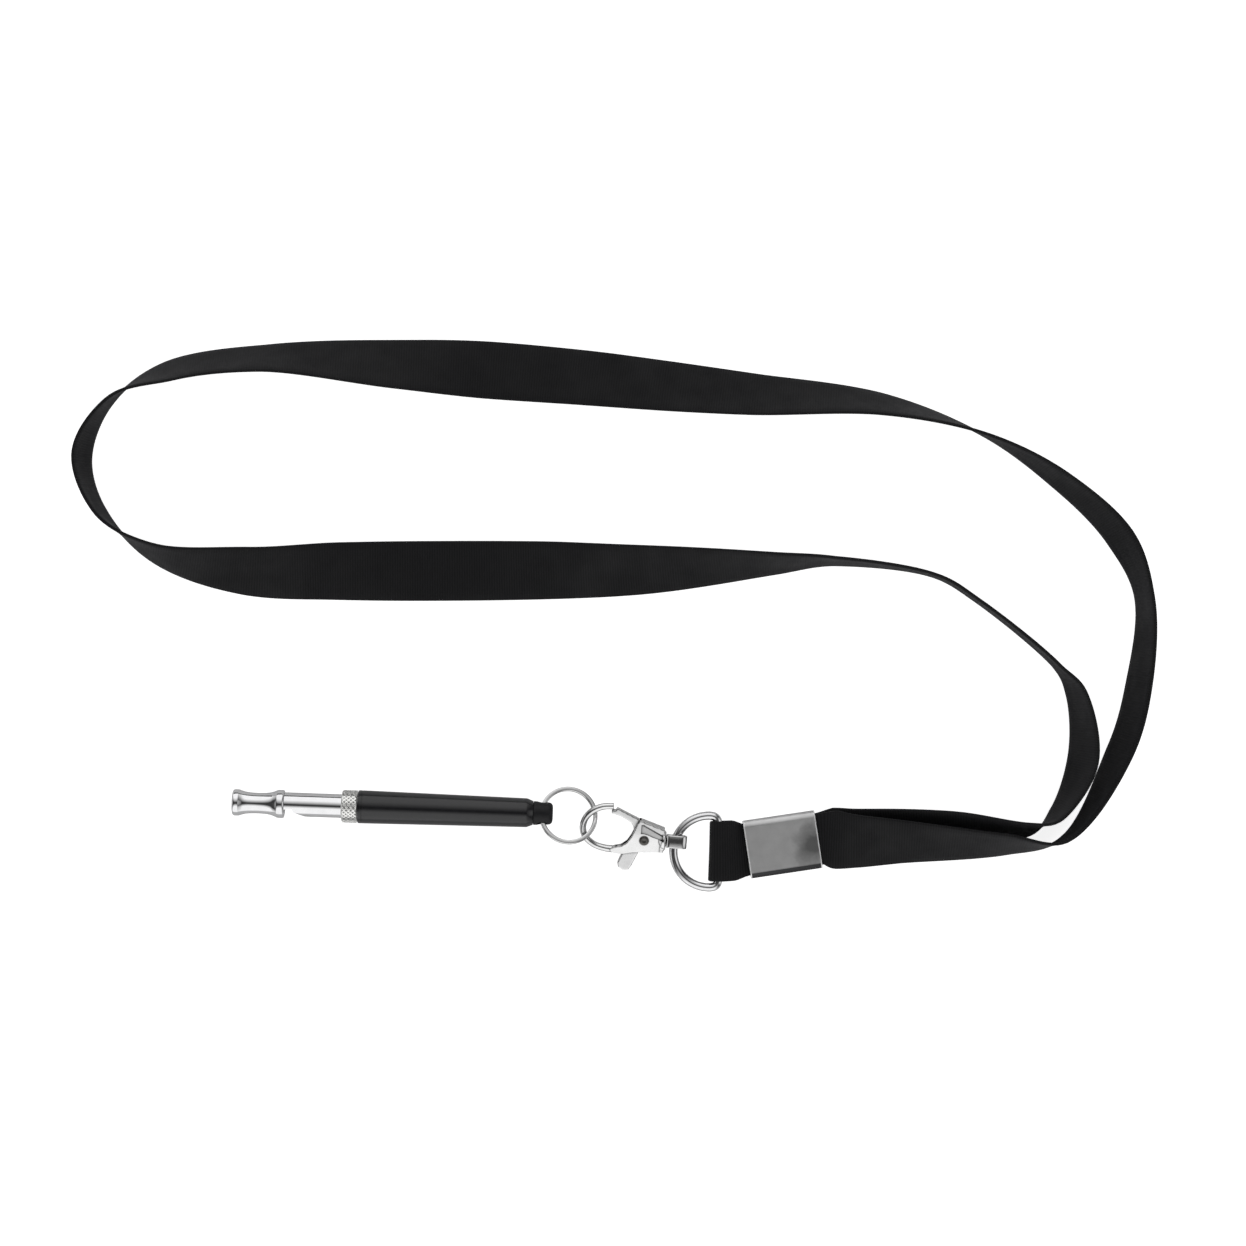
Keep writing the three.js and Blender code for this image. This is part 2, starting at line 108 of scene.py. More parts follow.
MOUTHPIECE_END = 12.8
STEM = {"start": 12.85, "end": 46.0, "radius": 2.95, "bore": 2.0}
WINDOW = {"start": 12.8, "end": 18.4, "floor": 1.2}
THREAD = {"start": 27.6, "pitch": 0.5, "depth": 0.16}
NUT = {"start": 27.2, "end": 31.1, "radius": 4.15, "bore": 3.02}
KNURL = {"around": 26, "along": 3, "depth": 0.32, "steep": 1.8, "plain": 0.25}
BARREL = {
    "start": 31.2, "end": 74.7, "mouth": 4.12, "tail": 3.6, "thread": 3.02, "bore": 2.6, "step": 48.0,
}
TAIL = {"start": 66.0, "shoulder": 74.8, "end": 79.6, "hole": 77.0, "hole_radius": 1.45}
RING = {"x": 10.2, "y": 6.0, "z": 3.5, "radius": 6.75, "wide": 1.1, "thick": 0.6, "edge": 0.29, "pitch": 0.7}
RING_SLOPE = (-0.15, -0.25)
RING_TURNS = 1.97
CHEEK = 1.8
SLOT = 1.1
LEVER_HALF = 0.9
RIVET = 0.85
COLLAR = {"start": 4.4, "end": 5.45, "radius": 2.5, "bore": 0.8}
EYE = {
    "start": 5.55, "end": 10.7, "base": 0.5, "wall": 0.75, "half": 2.5, "width": 3.2, "tight": 0.25,
    "corner": 1.15,
}
SPRING = {"x": 2.4, "low": 1.0, "high": 2.55, "radius": 0.55, "wire": 0.13, "turns": 3}
D_RING = {"bar": 47.4, "bow": 45.25, "y": -3.05, "z": 2.25, "radius": 8.95, "wire": 1.05, "corner": 1.8}
STRAP = {"width": 15.0, "thick": 0.8, "squeezed": 12.9}
CRIMP = {
    "x": 63.5, "y": -1.3, "turn": math.radians(8.5), "length": 18.0, "width": 14.4, "height": 4.1,
    "wall": 0.4,
}

# ---------- mesh helpers ----------


def lathe(profile, sides):
    """A profile of (distance along x, radius) turned about local x. It ends on the axis or closes up."""
    points, faces, rows = [], [], []
    for along, radius in profile:
        if radius < 1e-6:
            rows.append([len(points)])
            points.append((along, 0, 0))
            continue
        rows.append(list(range(len(points), len(points) + sides)))
        for k in range(sides):
            angle = TURN * k / sides
            points.append((along, radius * math.cos(angle), radius * math.sin(angle)))
    closed = len(rows[0]) > 1
    for row, following in zip(rows, rows[1:] + ([rows[0]] if closed else [])):
        faces.extend(skin(row, following, sides))
    return points, faces


def skin(row, following, sides):
    faces = []
    for k in range(sides):
        j = (k + 1) % sides
        if len(row) == 1:
            faces.append((row[0], following[k], following[j]))
        elif len(following) == 1:
            faces.append((row[k], following[0], row[j]))
        else:
            faces.append((row[k], following[k], following[j], row[j]))
    return faces


def tube(rings, closed=False):
    """Skins rings of points that have the same count. An open tube gets flat ends."""
    count = len(rings[0])
    points = [point for ring in rings for point in ring]
    faces = []
    pairs = len(rings) if closed else len(rings) - 1
    for r in range(pairs):
        a, b = r * count, ((r + 1) % len(rings)) * count
        for k in range(count):
            j = (k + 1) % count
            faces.append((a + k, a + j, b + j, b + k))
    if not closed:
        last = (len(rings) - 1) * count
        faces.append(tuple(range(count - 1, -1, -1)))
        faces.append(tuple(range(last, last + count)))
    return points, faces


def plate(outline, low, high):
    """A flat plate between two heights from an outline in local x and y."""
    count = len(outline)
    points = [(x, y, low) for x, y in outline] + [(x, y, high) for x, y in outline]
    faces = [tuple(range(count - 1, -1, -1)), tuple(range(count, 2 * count))]
    for k in range(count):
        j = (k + 1) % count
        faces.append((k, j, count + j, count + k))
    return points, faces


def spun(shape, axis):
    """Turns a shape made about local x so that it lies about local y or z."""
    points, faces = shape
    if axis == "z":
        return [(-z, y, x) for x, y, z in points], faces
    return [(-y, x, z) for x, y, z in points], faces


def solid(name, shape, matrix):
    """An object whose mesh is the shape put in place, with its faces pointing outwards."""
    points, faces = shape
    mesh = bpy.data.meshes.new(name)
    mesh.from_pydata([matrix @ Vector(point) for point in points], [], faces)
    build = bmesh.new()
    build.from_mesh(mesh)
    bmesh.ops.remove_doubles(build, verts=build.verts, dist=1e-8)
    bmesh.ops.recalc_face_normals(build, faces=build.faces)
    build.to_mesh(mesh)
    build.free()
    thing = bpy.data.objects.new(name, mesh)
    bpy.context.scene.collection.objects.link(thing)
    return thing


def applied(thing):
    """Makes an object's modifiers part of its mesh."""
    bpy.context.view_layer.update()
    graph = bpy.context.evaluated_depsgraph_get()
    mesh = bpy.data.meshes.new_from_object(thing.evaluated_get(graph))
    thing.modifiers.clear()
    thing.data = mesh
    return thing


def carved(thing, *cutters):
    """Cuts other objects out of one, and removes them."""
    for cutter in cutters:
        change = thing.modifiers.new("cut", "BOOLEAN")
        change.operation = "DIFFERENCE"
        change.solver = "EXACT"
        change.object = cutter
    applied(thing)
    for cutter in cutters:
        bpy.data.objects.remove(cutter)
    return thing


def joined(thing, *others):
    """Puts other objects' meshes into one object."""
    build = bmesh.new()
    for source in (thing, *others):
        build.from_mesh(source.data)
    build.to_mesh(thing.data)
    build.free()
    for other in others:
        bpy.data.objects.remove(other)
    return thing


def cast(thing, voxel, rounds):
    """Fuses overlapping solids into one skin with small fillets, as a die casting has."""
    fuse = thing.modifiers.new("fuse", "REMESH")
    fuse.mode = "VOXEL"
    fuse.voxel_size = voxel
    ease = thing.modifiers.new("ease", "SMOOTH")
    ease.factor = 0.5
    ease.iterations = rounds
    return applied(thing)


def eased(thing, width, segments=2, angle=40):
    """Rounds the edges that are sharper than an angle."""
    edge = thing.modifiers.new("edge", "BEVEL")
    edge.width = width
    edge.segments = segments
    edge.limit_method = "ANGLE"
    edge.angle_limit = math.radians(angle)
    edge.harden_normals = False
    return applied(thing)


def finish_piece(thing, material, body, nodes=(), sharp=40):
    """Shades a piece, gives it its material, ties it to its body and hides the CAD nodes that it stands in
    for.
    """
    thing.data.materials.clear()
    thing.data.materials.append(material)
    for face in thing.data.polygons:
        face.use_smooth = True
    thing.data.set_sharp_from_angle(angle=math.radians(sharp))
    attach(thing, body)
    if nodes:
        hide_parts(*nodes)
    return thing


def spline(points, steps):
    """A centripetal Catmull-Rom curve through points, with that many steps from each to the next."""
    points = [Vector(point) for point in points]
    line = []
    for i in range(len(points) - 1):
        b, c = points[i], points[i + 1]
        a = points[i - 1] if i else b * 2 - c
        d = points[i + 2] if i + 2 < len(points) else c * 2 - b
        gap_ab, gap_bc, gap_cd = (max((q - p).length, 1e-9) ** 0.5 for p, q in ((a, b), (b, c), (c, d)))
        start = ((b - a) / gap_ab - (c - a) / (gap_ab + gap_bc) + (c - b) / gap_bc) * gap_bc
        stop = ((c - b) / gap_bc - (d - b) / (gap_bc + gap_cd) + (d - c) / gap_cd) * gap_bc
        for k in range(steps):
            t = k / steps
            line.append(
                b * (2 * t**3 - 3 * t**2 + 1)
                + start * (t**3 - 2 * t**2 + t)
                + c * (3 * t**2 - 2 * t**3)
                + stop * (t**3 - t**2)
            )
    line.append(points[-1])
    return line


def directions(line, closed=False):
    """The direction of a line of points at each of them."""
    last = len(line) - 1
    found = []
    for i in range(len(line)):
        before = line[(i - 1) % len(line)] if closed else line[max(i - 1, 0)]
        after = line[(i + 1) % len(line)] if closed else line[min(i + 1, last)]
        found.append((after - before).normalized())
    return found


def circle(radius, sides):
    angles = [TURN * k / sides for k in range(sides)]
    return [(radius * math.cos(angle), radius * math.sin(angle)) for angle in angles]


def rounded_section(width, height, corner, steps=3):
    """A rectangle with round corners, as (sideways, upwards) points."""
    corners = ((1, 1), (-1, 1), (-1, -1), (1, -1))
    points = []
    for quarter, (sx, sy) in enumerate(corners):
        for k in range(steps + 1):
            angle = TURN / 4 * (quarter + k / steps)
            points.append((
                sx * (width / 2 - corner) + corner * math.cos(angle),
                sy * (height / 2 - corner) + corner * math.sin(angle),
            ))
    return points


# ---------- material helpers ----------


class Nodes:
    """A node tree, with short ways to add to it."""

    def __init__(self, tree):
        self.tree = tree

    def node(self, kind, values=None, **links):
        made = self.tree.nodes.new(kind)
        for socket, value in (values or {}).items():
            made.inputs[socket].default_value = value
        for socket, source in links.items():
            self.tree.links.new(source, made.inputs[socket])
        return made

    def span(self, source, low, high, start=0.3, end=0.7):
        """Low where the source is at its start, high where it is at its end, and clamped beyond."""
        made = self.node(
            "ShaderNodeMapRange",
            {"From Min": start, "From Max": end, "To Min": low, "To Max": high},
            Value=source,
        )
        return made.outputs["Result"]

    def maths(self, operation, first, second):
        made = self.node("ShaderNodeMath")
        made.operation = operation
        for socket, source in zip(made.inputs, (first, second)):
            if isinstance(source, float):
                socket.default_value = source
            else:
                self.tree.links.new(source, socket)
        return made.outputs["Value"]


class Surface(Nodes):
    """A node material with one principled shader. Lengths in its patterns are in millimetres."""

    def __init__(self, name, **sockets):
        self.material = bpy.data.materials.new(name)
        self.material.use_nodes = True
        super().__init__(self.material.node_tree)
        self.shader = self.tree.nodes["Principled BSDF"]
        for socket, value in sockets.items():
            self.shader.inputs[socket.replace("_", " ")].default_value = value
        place = self.tree.nodes.new("ShaderNodeTexCoord")
        self.place = place.outputs["Object"]
        self.uv = place.outputs["UV"]

    def stretched(self, scale, source=None):
        made = self.node("ShaderNodeMapping", {"Scale": scale})
        self.tree.links.new(source or self.place, made.inputs["Vector"])
        return made.outputs["Vector"]

    def noise(self, per_mm, detail=3.0, stretch=None, rough=0.55):
        scale = tuple(per_mm / MM * s for s in (stretch or (1, 1, 1)))
        made = self.node(
            "ShaderNodeTexNoise",
            {"Scale": 1.0, "Detail": detail, "Roughness": rough},
            Vector=self.stretched(scale),
        )
        return made.outputs["Fac"]

    def mixed(self, factor, first, second):
        """A colour between two, each of them a colour or another node's output."""
        made = self.tree.nodes.new("ShaderNodeMix")
        made.data_type = "RGBA"
        self.tree.links.new(factor, made.inputs["Factor"])
        for socket, source in (("A", first), ("B", second)):
            if isinstance(source, tuple):
                made.inputs[socket].default_value = (*source, 1)
            else:
                self.tree.links.new(source, made.inputs[socket])
        return made.outputs["Result"]

    def set(self, socket, source):
        self.tree.links.new(source, self.shader.inputs[socket])

    def bump(self, height, strength, depth_mm):
        made = self.node("ShaderNodeBump", {"Strength": strength, "Distance": depth_mm * MM}, Height=height)
        self.set("Normal", made.outputs["Normal"])


def metal(name, colour, rough, grain=6.0, stretch=None, dent=0.0, dark=0.8, painted_shade=0.0):
    """A metal with uneven gloss and colour, and painted shade that darkens it near corners, in hollows and
    between parts. Dent, the depth of its handling marks, and the reach of the painted shade from corners are
    in mm."""
    surface = Surface(name, Metallic=1.0)
    marks = surface.noise(grain, 4.0, stretch)
    patches = surface.noise(0.35, 3.0)
    surface.set("Roughness", surface.span(marks, *rough))
    plating = surface.mixed(surface.span(patches, 0.0, 1.0), tuple(c * dark for c in colour), colour)
    if painted_shade:
        # Painted shade: an ambient occlusion node darkens the colour to near black in grooves, corners and
        # next to other parts.
        occlusion = surface.node("ShaderNodeAmbientOcclusion", {"Distance": painted_shade * MM})
        unshaded = surface.span(occlusion.outputs["AO"], 0.0, 1.0, 0.45, 0.95)
        plating = surface.mixed(unshaded, (0.03, 0.03, 0.03), plating)
    surface.set("Base Color", plating)
    if dent:
        surface.bump(marks, 0.5, dent)
    return surface.material


def chrome():
    return metal("chrome", (0.83, 0.83, 0.84), (0.05, 0.11), dark=0.93)


def cast_chrome():
    # Painted shade in its grooves and next to other parts, reaching 0.8 mm.
    return metal("cast_chrome", (0.8, 0.8, 0.8), (0.08, 0.16), grain=1.6, dent=0.012, dark=0.9, painted_shade=0.8)


def wire_steel():
    # Painted shade where its surfaces lie close together, reaching 0.5 mm.
    return metal("wire_steel", (0.8, 0.8, 0.8), (0.08, 0.16), grain=2.0, dark=0.88, painted_shade=0.5)


def ring_chrome():
    return metal("ring_chrome", (0.8, 0.8, 0.81), (0.1, 0.18), dark=0.92)


def rivet_steel():
    return metal("rivet_steel", (0.13, 0.125, 0.12), (0.25, 0.45), grain=5.0, dent=0.01)


def nut_nickel():
    return metal("nut_nickel", (0.98, 0.98, 0.96), (0.12, 0.24), grain=8.0, dark=0.9)


def brass():
    return metal("brass", (0.66, 0.5, 0.22), (0.2, 0.34), stretch=(0.2, 1, 1))


# On the crimp, in mm from its middle and from the ground.
DARK_SPOT = (7.8, -0.9, 4.1)
DARK_SPOT_REACH = (1.5, 6.2)
NEAR_FOLD = (-6.0, -5.7)
RIM = (8.65, 8.77)


def satin_nickel():
    """The crimp's plating: darker and smoother in a patch at one end, with a painted dark reflection along
    the near fold and a painted highlight at both rims."""
    surface = Surface("satin_nickel", Metallic=1.0)
    turned = surface.node("ShaderNodeMapping", {"Rotation": (0, 0, -CRIMP["turn"])}, Vector=surface.place)
    middle = Vector((CRIMP["x"], CRIMP["y"], 0)) * MM
    middle.rotate(Matrix.Rotation(-CRIMP["turn"], 3, "Z"))
    local = surface.node("ShaderNodeVectorMath", {1: middle}, Vector=turned.outputs["Vector"])
    local.operation = "SUBTRACT"
    # A patch at one end is painted darker and made smoother.
    spot = surface.node("ShaderNodeVectorMath", {1: Vector(DARK_SPOT) * MM}, Vector=local.outputs["Vector"])
    spot.operation = "DISTANCE"
    split = surface.node("ShaderNodeSeparateXYZ", Vector=local.outputs["Vector"]).outputs
    clouds = surface.noise(0.3, 3.0)
    ragged = surface.maths("MULTIPLY", surface.maths("SUBTRACT", clouds, 0.5), 0.005)
    reach = surface.maths("ADD", spot.outputs["Value"], ragged)
    dark_patch = surface.span(reach, 1.0, 0.0, *(mm * MM for mm in DARK_SPOT_REACH))
    scratches = surface.noise(4.0, 5.0, (0.1, 1, 1))
    polish = surface.maths("MULTIPLY", dark_patch, 0.1)
    rough = surface.maths("SUBTRACT", surface.span(scratches, 0.4, 0.46), polish)
    plating = surface.mixed(surface.span(clouds, 0.0, 1.0), (0.64, 0.64, 0.64), (0.72, 0.72, 0.72))
    with_dark_patch = surface.mixed(dark_patch, plating, (0.34, 0.34, 0.34))
    # Painted dark reflection: the colour along the near fold is darkened almost to black.
    fold = surface.span(split["Y"], 1.0, 0.0, *(mm * MM for mm in NEAR_FOLD))
    with_fold_reflection = surface.mixed(fold, with_dark_patch, (0.05, 0.05, 0.052))
    end_to_middle = surface.maths("ABSOLUTE", split["X"], 0.0)
    # Painted highlight: the colour at both rims is lifted almost to white.
    rim = surface.span(end_to_middle, 0.0, 1.0, *(mm * MM for mm in RIM))
    surface.set("Roughness", surface.maths("MAXIMUM", rough, surface.maths("MULTIPLY", rim, 0.62)))
    surface.set("Base Color", surface.mixed(rim, with_fold_reflection, (0.97, 0.97, 0.97)))
    surface.bump(scratches, 0.15, 0.004)
    return surface.material


def anodised(name, rough, gloss):
    """Black anodised aluminium with fine turning marks."""
    surface = Surface(name, Metallic=0.0, IOR=1.55, Specular_IOR_Level=gloss)
    turning = surface.noise(9.0, 2.0, (3, 0.3, 0.3))
    dust = surface.noise(1.2, 3.0)
    surface.set("Roughness", surface.span(turning, *rough))
    surface.set("Base Color", surface.mixed(
        surface.span(dust, 0.0, 1.0), (0.008, 0.008, 0.0095), (0.014, 0.014, 0.016)))
    surface.bump(turning, 0.25, 0.008)
    return surface.material


def white_plastic():
    surface = Surface("white_plastic")
    grain = surface.noise(4.0, 3.0)
    surface.set("Roughness", surface.span(grain, 0.4, 0.55))
    surface.set("Base Color", surface.mixed(grain, (0.72, 0.72, 0.68), (0.8, 0.8, 0.77)))
    return surface.material


def seal_rubber():
    surface = Surface("seal_rubber")
    grain = surface.noise(8.0, 3.0)
    surface.set("Roughness", surface.span(grain, 0.65, 0.85))
    surface.set("Base Color", surface.mixed(grain, (0.012, 0.012, 0.012), (0.03, 0.03, 0.03)))
    surface.bump(grain, 0.4, 0.02)
    return surface.material


RIB_PITCH = 0.62
RIB_DEPTH = 0.045


def webbing():
    """Black polyester ribbon: ribs across it, yarns along it, and a thin fuzz that catches light."""
    surface = Surface(
        "webbing", Metallic=0.0, IOR=1.45, Sheen_Weight=0.12, Sheen_Roughness=0.45, Specular_IOR_Level=0.22,
    )
    surface.shader.inputs["Sheen Tint"].default_value = (0.6, 0.6, 0.64, 1)
    ribs = surface.node(
        "ShaderNodeTexWave", {"Scale": 1.0, "Distortion": 0.5, "Detail": 1.0, "Detail Scale": 1.5},
        Vector=surface.stretched((TURN / (20 * RIB_PITCH * MM), 1.0 / MM, 1.0), surface.uv),
    )
    ribs.bands_direction = "X"
    yarns = surface.node(
        "ShaderNodeTexWave", {"Scale": 1.0, "Distortion": 1.0, "Detail": 1.0, "Detail Scale": 1.0},
        Vector=surface.stretched((0.3 / MM, TURN / (20 * 0.45 * MM), 1.0), surface.uv),
    )
    yarns.bands_direction = "Y"
    soft_yarns = surface.span(yarns.outputs["Fac"], 0.75, 1.0, 0.0, 1.0)
    weave = surface.maths("MULTIPLY", ribs.outputs["Fac"], soft_yarns)
    clouds = surface.noise(0.12, 3.0)
    surface.set("Base Color", surface.mixed(weave, (0.005, 0.005, 0.0055), (0.0125, 0.0125, 0.014)))
    surface.set("Roughness", surface.span(clouds, 0.55, 0.75))
    surface.bump(weave, 0.5, RIB_DEPTH)
    return surface.material


# ---------- camera, floor and light ----------

PICTURE_CENTRE = Vector((0.02375, 0.0539, 0.0))
CAMERA_HEIGHT = 0.75
PICTURE_WIDTH = 0.3115


def camera():
    view = bpy.data.cameras.new("camera")
    view.sensor_width = 36
    view.lens = view.sensor_width * CAMERA_HEIGHT / PICTURE_WIDTH
    view.clip_start = 0.01
    view.clip_end = 20
    thing = bpy.data.objects.new("camera", view)
    thing.location = PICTURE_CENTRE + Vector((0, 0, CAMERA_HEIGHT))
    bpy.context.scene.collection.objects.link(thing)
    bpy.context.scene.camera = thing


FLOOR_HALF = 2.5
FLOOR_DROP = 0.05 * MM
FLOOR_LIFT = 0.85


def floor():
    """White paper. The camera sees it a little overexposed, as product pictures show it."""
    half = FLOOR_HALF / MM
    outline = [(-half, -half), (half, -half), (half, half), (-half, half)]
    thing = solid("floor", plate(outline, -2.0, -FLOOR_DROP / MM), at_mm(0, 0, 0))
    surface = Surface("floor_paper", Roughness=0.9)
    grain = surface.noise(0.05, 2.0)
    surface.set("Base Color", surface.mixed(grain, (0.9, 0.9, 0.9), (0.93, 0.93, 0.93)))
    surface.shader.inputs["Emission Color"].default_value = (1, 1, 1, 1)
    seen = surface.tree.nodes.new("ShaderNodeLightPath").outputs["Is Camera Ray"]
    surface.set("Emission Strength", surface.maths("MULTIPLY", seen, FLOOR_LIFT))
    thing.data.materials.append(surface.material)


TENT_BRIGHT = 1.12
TENT_DARK = 0.05
STRIP_SPREAD = 0.7


def lighting():
    """A white light tent. Its roof is open in a dark strip over the camera, wider towards both ends,
    and the dim far end has one bright window."""
    world = bpy.data.worlds.new("studio")
    world.use_nodes = True
    tent = Nodes(world.node_tree)
    way = tent.tree.nodes.new("ShaderNodeTexCoord").outputs["Generated"]
    split = tent.node("ShaderNodeSeparateXYZ", Vector=way).outputs
    spread = tent.maths("MULTIPLY", tent.maths("MULTIPLY", split["X"], split["X"]), STRIP_SPREAD)
    near_wall = tent.span(
        tent.maths("ADD", split["Y"], spread), TENT_BRIGHT, TENT_DARK, -0.5, -0.12)
    far_wall = tent.span(
        tent.maths("SUBTRACT", split["Y"], spread), TENT_DARK, TENT_BRIGHT, 0.06, 0.68)
    left_wall = tent.span(split["X"], 0.9, 0.0, -0.93, -0.78)
    right_dim = tent.span(split["X"], 1.0, 0.25, 0.3, 0.6)
    aside = tent.maths("ABSOLUTE", split["Y"], 0.0)
    window = tent.maths(
        "MULTIPLY", tent.span(split["X"], 0.0, 0.85, 0.4, 0.7), tent.span(aside, 1.0, 0.0, 0.2, 0.5))
    walls = tent.maths("MAXIMUM", tent.maths("MAXIMUM", near_wall, far_wall), left_wall)
    background = tent.tree.nodes["Background"]
    background.inputs["Color"].default_value = (1, 1, 1, 1)
    strength = tent.maths("MAXIMUM", tent.maths("MULTIPLY", walls, right_dim), window)
    tent.tree.links.new(strength, background.inputs["Strength"])
    bpy.context.scene.world = world
    bpy.context.scene.view_settings.view_transform = "Standard"


# ---------- strap ----------

# The strap's route in mm: x, y, height of its middle, and roll in degrees. Roll 0 is flat, and 90
# stands it on edge with the edge on the left of the way it runs held up.
LOOP = [
    (76.5, 0.0, 3.9, 10), (81.0, -0.3, 4.9, 24), (93.0, -0.4, 6.0, 42), (118.1, -1.0, 7.3, 66),
    (132.8, 0.2, 7.9, 88), (146.7, 22.0, 7.7, 106), (151.3, 38.0, 7.7, 105), (152.8, 60.0, 7.9, 98),
    (146.8, 75.0, 7.6, 108), (131.8, 89.4, 7.8, 102), (113.6, 100.4, 7.9, 87), (88.6, 108.0, 7.3, 66),
    (56.0, 110.7, 5.6, 43), (36.0, 112.7, 4.3, 31), (15.0, 114.9, 3.0, 20), (-8.0, 116.8, 2.2, 13),
    (-32.2, 118.2, 4.4, 32), (-65.4, 119.5, 7.0, 60), (-88.5, 116.4, 7.3, 65), (-102.8, 109.4, 7.9, 87),
    (-110.1, 95.6, 7.9, 98), (-105.4, 81.2, 7.9, 93), (-92.6, 71.3, 7.5, 72), (-70.0, 66.8, 5.1, 38),
    (-47.0, 66.8, 2.7, 17), (-22.0, 66.9, 1.0, 4), (3.0, 67.0, 2.4, 15), (27.9, 67.1, 4.9, 36),
    (61.0, 68.6, 7.5, 70), (76.0, 69.2, 7.9, 84), (101.0, 65.6, 8.0, 90), (111.0, 59.8, 8.0, 91),
    (131.0, 43.4, 8.0, 90), (135.8, 36.8, 7.9, 79), (137.6, 20.0, 7.5, 69), (131.0, 6.4, 7.9, 84),
    (125.4, 3.0, 7.7, 104), (105.5, 2.6, 6.1, 131), (81.5, 0.6, 2.9, 165), (76.5, 0.4, 1.8, 177),
]
# Stations inside the crimp, as distance along it and height, and round the D-ring's bar, in mm.
START_IN_CRIMP = [(-8.0, 3.0), (-2.5, 3.0), (3.0, 3.0), (7.0, 3.0), (10.2, 3.06)]
END_IN_CRIMP = [(9.6, 1.08), (8.0, 1.01), (4.0, 1.0), (-2.0, 1.0), (-9.2, 1.0)]
FOLD = [
    (51.6, -2.85, 0.72), (49.2, -2.95, 0.5), (47.4, -2.95, 0.5), (46.1, -2.95, 1.0), (45.55, -2.95, 2.1),
    (45.85, -2.95, 3.2), (47.0, -2.95, 3.95), (48.6, -2.95, 3.9), (51.6, -2.85, 2.8),
]
TAIL_IN_CRIMP = [(-9.2, 2.0), (-3.0, 2.0), (2.0, 2.0), (7.0, 2.0)]
STRAP_STEP = 0.9


def crimp_direction():
    return Vector((math.cos(CRIMP["turn"]), math.sin(CRIMP["turn"]), 0))


def in_crimp(rows):
    along = crimp_direction()
    across = Vector((-along.y, along.x, 0))
    middle = Vector((CRIMP["x"], CRIMP["y"], 0))
    return [(middle + along * distance + Vector((0, 0, height)), across, STRAP["squeezed"])
            for distance, height in rows]


def on_loop():
    stations = []
    for i, (x, y, z, roll) in enumerate(LOOP):
        before = LOOP[max(i - 1, 0)]
        after = LOOP[min(i + 1, len(LOOP) - 1)]
        heading = math.atan2(after[1] - before[1], after[0] - before[0])
        level = math.cos(math.radians(roll))
        across = Vector((-math.sin(heading), math.cos(heading), 0)) * level
        across.z = math.sin(math.radians(roll))
        stations.append((Vector((x, y, z)), across, STRAP["width"]))
    return stations


def strap_stations():
    across = Vector((0.03, 1, 0)).normalized()
    fold = [(Vector(point), across, STRAP["width"]) for point in FOLD]
    return in_crimp(START_IN_CRIMP) + on_loop() + in_crimp(END_IN_CRIMP) + fold + in_crimp(TAIL_IN_CRIMP)


def strap_line():
    """The strap's middle line, the direction across it and its width at each point, in mm."""
    stations = strap_stations()
    steps = 24
    line = spline([point for point, _, _ in stations], steps)
    wide = spline([across for _, across, _ in stations], steps)
    kept = [0]
    for i in range(1, len(line) - 1):
        if (line[i] - line[kept[-1]]).length >= STRAP_STEP:
            kept.append(i)
    kept.append(len(line) - 1)
    widths = []
    for i in kept:
        low = min(i // steps, len(stations) - 2)
        part = i / steps - low
        widths.append(stations[low][2] * (1 - part) + stations[low + 1][2] * part)
    return [line[i] for i in kept], [wide[i] for i in kept], widths


def strap_section(width):
    """Half-round selvedges and a very slightly hollow middle, as (sideways, thickness) points."""
    half, thick = width / 2, STRAP["thick"] / 2
    flat = [half - thick - (2 * half - 2 * thick) * k / 8 for k in range(9)]
    top = [(x, thick * (0.86 + 0.14 * abs(x) / half)) for x in flat]
    edge = []
    for angle in (TURN / 8, TURN / 4, TURN * 3 / 8):
        edge.append((-half + thick * (1 - math.sin(angle)), thick * math.cos(angle)))
    bottom = [(-x, -y) for x, y in top]
    far = [(-x, -y) for x, y in edge]
    return top + edge + bottom + far


def strap():
    line, wide, widths = strap_line()
    along = directions(line)
    rings = []
    for point, forward, sideways, width in zip(line, along, wide, widths):
        across = (sideways - forward * sideways.dot(forward)).normalized()
        up = forward.cross(across)
        rings.append([point + across * x + up * y for x, y in strap_section(width)])
    thing = solid("strap_ribbon", tube(rings), at_mm(0, 0, 0))
    mark_weave(thing, line, len(rings[0]))
    finish_piece(thing, webbing(), "lanyard", ["strap"], sharp=70)


def mark_weave(thing, line, count):
    """Stores how far along and across the strap each corner is, in metres, as the weave's map."""
    distance = [0.0]
    for a, b in zip(line, line[1:]):
        distance.append(distance[-1] + (b - a).length)
    section = strap_section(STRAP["width"])
    layer = thing.data.uv_layers.new(name="weave")
    for loop in thing.data.loops:
        row, place = divmod(loop.vertex_index, count)
        layer.data[loop.index].uv = (distance[row] * MM, section[place][0] * MM)


# ---------- crimp and D-ring ----------


def crimp_outline(inset):
    """The band's cross-section as (across, height): a sloped shoulder on each long side."""
    half = CRIMP["width"] / 2
    high = CRIMP["height"] - inset
    low = inset
    rim = inset * 0.6
    return [
        (-half + inset, 0.5 + low * 0.5), (-half + 0.4 + inset, 0.12 + rim), (-half + 0.8 + inset, low),
        (half - 0.8 - inset, low), (half - 0.4 - inset, 0.12 + rim), (half - inset, 0.5 + low * 0.5),
        (half - inset, high - 0.95), (half - 0.15 - inset, high - 0.6), (half - 0.55 - inset, high - 0.3),
        (half - 1.2 - rim, high - 0.06), (half - 1.5 - rim, high), (half - 1.8 - rim, high),
        (-half + 1.5 + rim, high), (-half + 1.2 + rim, high), (-half + 1.0 + rim, high - 0.08),
        (-half + 0.15 + inset, high - 1.0), (-half + inset, high - 1.25),
    ]


